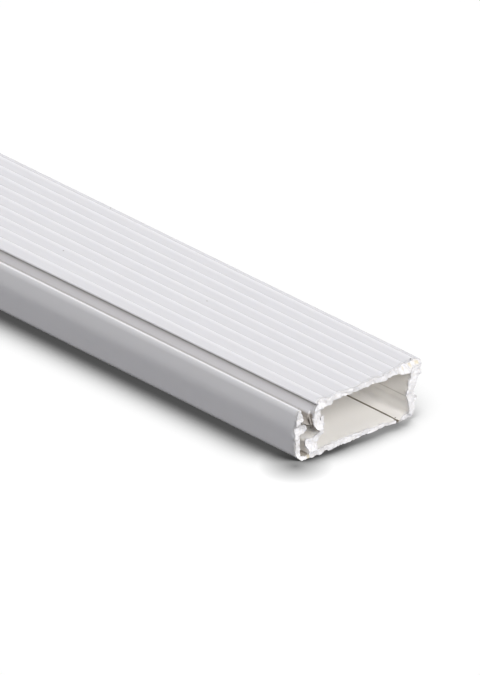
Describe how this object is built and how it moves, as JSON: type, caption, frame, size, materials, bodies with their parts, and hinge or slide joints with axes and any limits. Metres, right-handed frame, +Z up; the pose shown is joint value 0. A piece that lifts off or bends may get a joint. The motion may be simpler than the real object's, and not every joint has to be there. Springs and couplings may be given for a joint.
{
  "type": "cable trunking",
  "caption": "Surface cable trunking in white rigid PVC: a flat base with a latch channel along one side and a cover with fine raised lines that hooks under the other edge and latches shut.",
  "frame": {"origin": "middle of the length and width, on the floor under the base", "axes": "+Y along the length away from the sawn end, +Z up out of the floor, -X towards the latch wall"},
  "size_m": [0.0434, 2.0012, 0.016],
  "materials": {
    "pvc_base": "satin extruded rigid PVC, white",
    "pvc_cover": "satin extruded rigid PVC, white"
  },
  "bodies": {
    "base": {"base": "pvc_base"},
    "cover": {"cover": "pvc_cover"}
  },
  "joints": [
    {"name": "cover_slide", "type": "slide", "parent": "base", "child": "cover", "axis": [0, -1, 0], "range_m": [-1.5, 1.5]}
  ]
}
